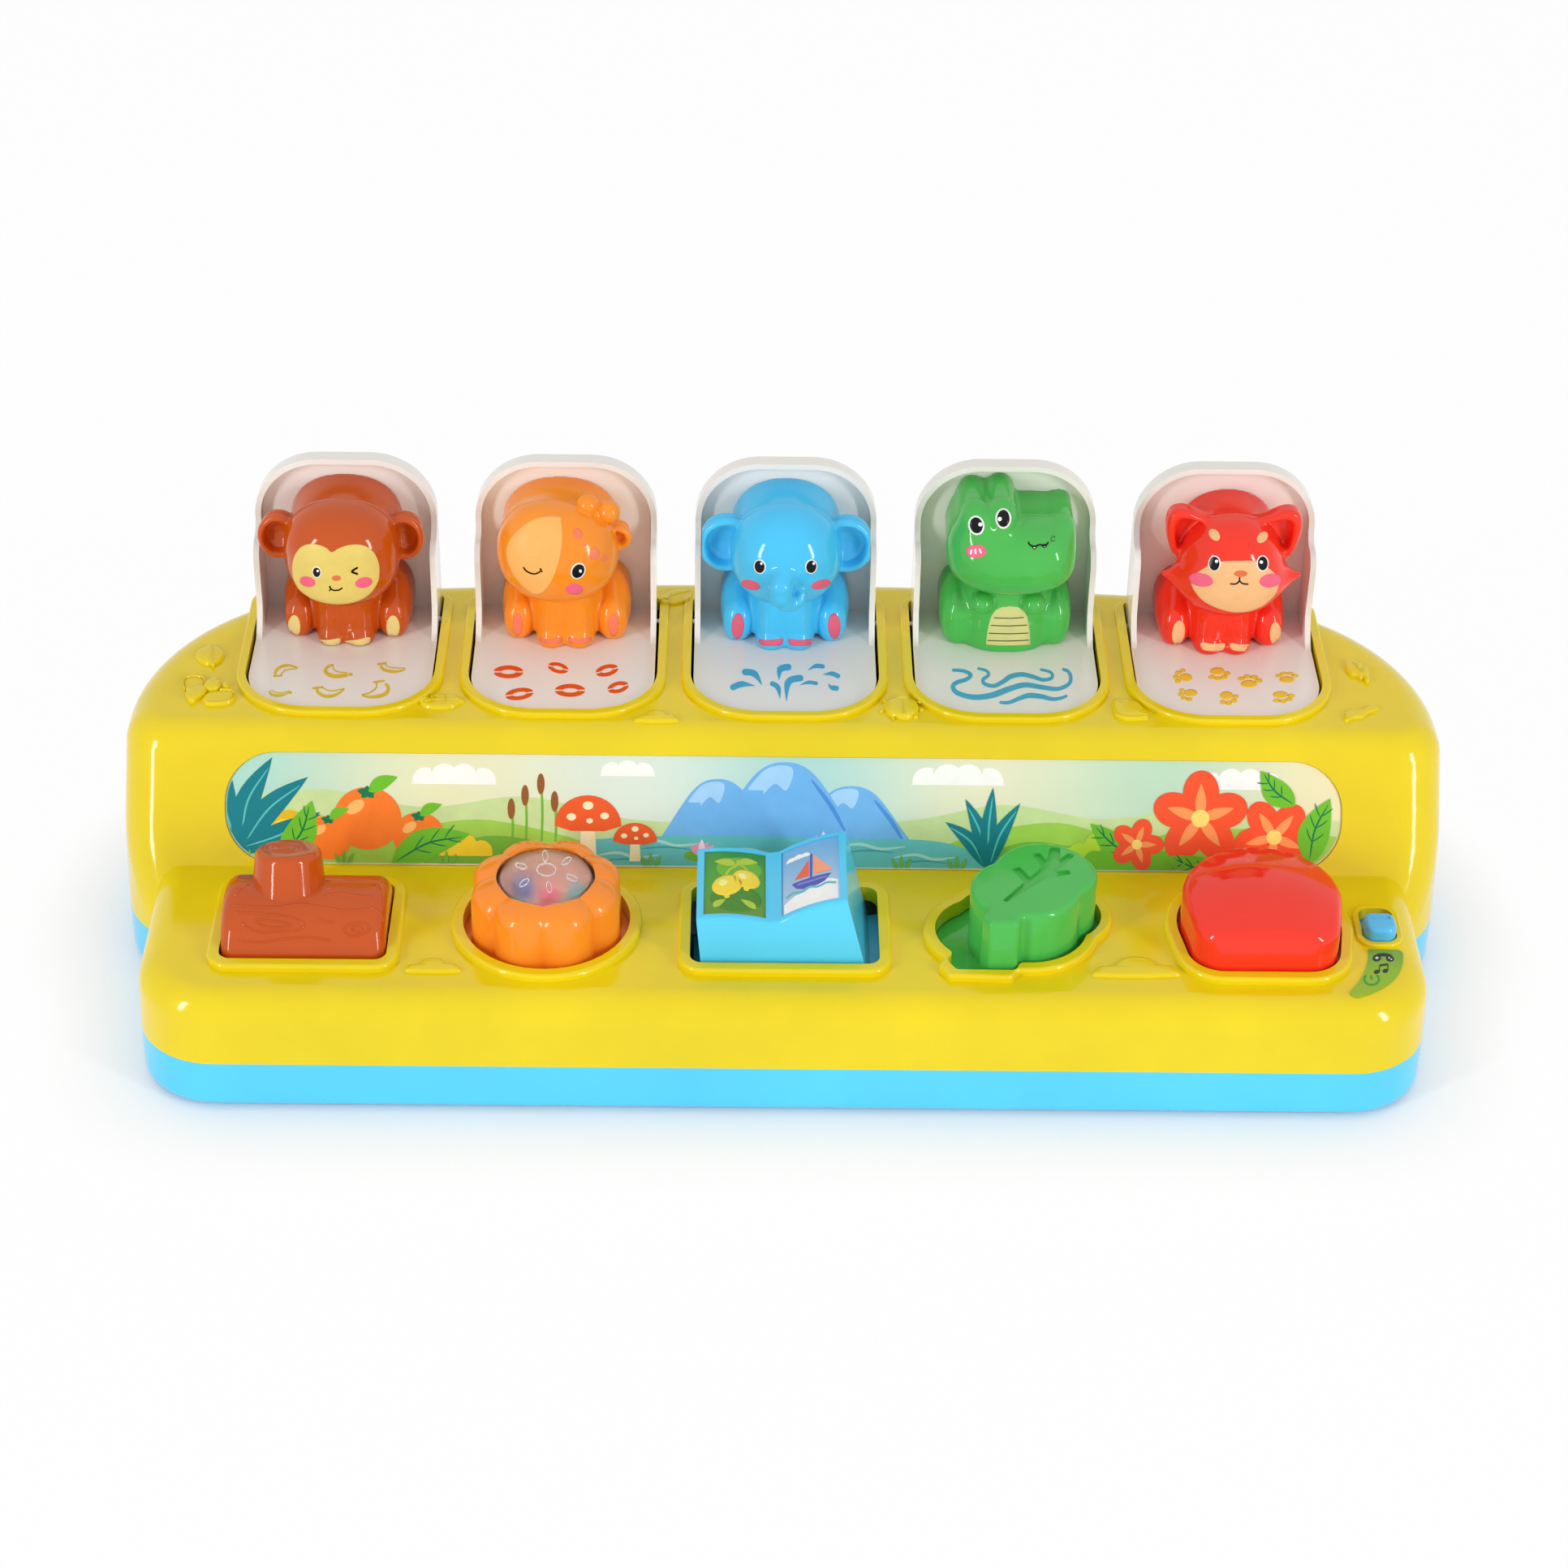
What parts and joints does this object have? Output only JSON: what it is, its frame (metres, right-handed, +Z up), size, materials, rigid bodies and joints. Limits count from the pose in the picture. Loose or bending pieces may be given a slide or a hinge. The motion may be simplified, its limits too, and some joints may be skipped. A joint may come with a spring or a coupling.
{
  "type": "pop up animal toy",
  "caption": "Baby pop up toy: row of hinged lids with animal figures behind a stepped front with a lever, knob, rocker, slider and button.",
  "frame": {"origin": "centre of the footprint, on the surface the toy stands on", "axes": "+X to the user's right, +Y from the controls in front to the lids behind, +Z up"},
  "size_m": [0.34, 0.151, 0.1118],
  "materials": {
    "yellow_plastic": "glossy yellow ABS",
    "sky_blue_plastic": "glossy sky blue ABS",
    "white_plastic": "glossy creamy white ABS",
    "brown_plastic": "glossy brown ABS",
    "orange_plastic": "glossy orange ABS",
    "blue_plastic": "glossy light blue ABS",
    "green_plastic": "glossy green ABS",
    "red_plastic": "glossy red ABS",
    "picture_print": "printed picture film",
    "page_print": "printed page sticker",
    "sticker_print": "printed sticker",
    "frame_plastic": "matt orange inner plastic",
    "clear_plastic": "frosted clear polystyrene",
    "bead_plastic": "coloured plastic beads",
    "steel": "bright zinc plated steel",
    "cell_wrap": "plain wrapped cells",
    "board": "green circuit board",
    "speaker_black": "black speaker frame"
  },
  "bodies": {
    "housing": {"top_shell": "yellow_plastic", "base_tray": "sky_blue_plastic", "picture_panel": "picture_print", "mode_sticker": "sticker_print", "mechanism_frame": "frame_plastic", "door_hinge_pins": "steel", "door_springs": "steel", "log_pivot_pin": "steel", "book_pivot_pin": "steel", "battery_door": "sky_blue_plastic", "battery_door_screw": "steel", "battery_cells": "cell_wrap", "battery_contacts": "steel", "housing_screws": "steel", "speaker": "speaker_black", "circuit_board": "board", "slide_switch": "speaker_black", "red_button_spring": "steel"},
    "monkey_lid": {"monkey_door": "white_plastic", "monkey_figure": "brown_plastic"},
    "giraffe_lid": {"giraffe_door": "white_plastic", "giraffe_figure": "orange_plastic"},
    "elephant_lid": {"elephant_door": "white_plastic", "elephant_figure": "blue_plastic"},
    "crocodile_lid": {"crocodile_door": "white_plastic", "crocodile_figure": "green_plastic"},
    "fox_lid": {"fox_door": "white_plastic", "fox_figure": "red_plastic"},
    "log": {"log_lever": "brown_plastic"},
    "flower": {"flower_knob": "orange_plastic", "flower_dome": "clear_plastic", "flower_beads": "bead_plastic"},
    "book": {"book_rocker": "blue_plastic", "book_page_left": "page_print", "book_page_right": "page_print"},
    "leaf": {"leaf_slider": "green_plastic"},
    "red": {"red_button": "red_plastic"},
    "mode_switch": {"mode_switch_knob": "blue_plastic"}
  },
  "joints": [
    {"name": "monkey_hinge", "type": "hinge", "parent": "housing", "child": "monkey_lid", "pos_m": [-0.115, 0.0538, 0.0626], "axis": [1, 0, 0], "range_deg": [0, 90], "stiffness_Nm_per_rad": 0.005, "springref_deg": -114.59},
    {"name": "giraffe_hinge", "type": "hinge", "parent": "housing", "child": "giraffe_lid", "pos_m": [-0.0575, 0.0538, 0.0626], "axis": [1, 0, 0], "range_deg": [0, 90], "stiffness_Nm_per_rad": 0.005, "springref_deg": -114.59},
    {"name": "elephant_hinge", "type": "hinge", "parent": "housing", "child": "elephant_lid", "pos_m": [0, 0.0538, 0.0626], "axis": [1, 0, 0], "range_deg": [0, 90], "stiffness_Nm_per_rad": 0.005, "springref_deg": -114.59},
    {"name": "crocodile_hinge", "type": "hinge", "parent": "housing", "child": "crocodile_lid", "pos_m": [0.0575, 0.0538, 0.0626], "axis": [1, 0, 0], "range_deg": [0, 90], "stiffness_Nm_per_rad": 0.005, "springref_deg": -114.59},
    {"name": "fox_hinge", "type": "hinge", "parent": "housing", "child": "fox_lid", "pos_m": [0.115, 0.0538, 0.0626], "axis": [1, 0, 0], "range_deg": [0, 90], "stiffness_Nm_per_rad": 0.005, "springref_deg": -114.59},
    {"name": "log_roll", "type": "hinge", "parent": "housing", "child": "log", "pos_m": [-0.1186, -0.0442, 0.0306], "axis": [1, 0, 0], "range_deg": [0, 28]},
    {"name": "flower_turn", "type": "hinge", "parent": "housing", "child": "flower", "pos_m": [-0.0593, -0.0428, 0.03], "axis": [0, 0, 1], "range_deg": [0, 90]},
    {"name": "book_rock", "type": "hinge", "parent": "housing", "child": "book", "pos_m": [0, -0.0442, 0.03], "axis": [0, 1, 0], "range_deg": [0, 18.5]},
    {"name": "leaf_slide", "type": "slide", "parent": "housing", "child": "leaf", "axis": [-1, 0, 0], "range_m": [0, 0.0065]},
    {"name": "red_press", "type": "slide", "parent": "housing", "child": "red", "axis": [0, 0, -1], "range_m": [0, 0.005], "stiffness_N_per_m": 160, "springref_m": -0.003, "deforming": ["red_button_spring"]},
    {"name": "mode_slide", "type": "slide", "parent": "housing", "child": "mode_switch", "axis": [0, 1, 0], "range_m": [0, 0.0054]}
  ]
}
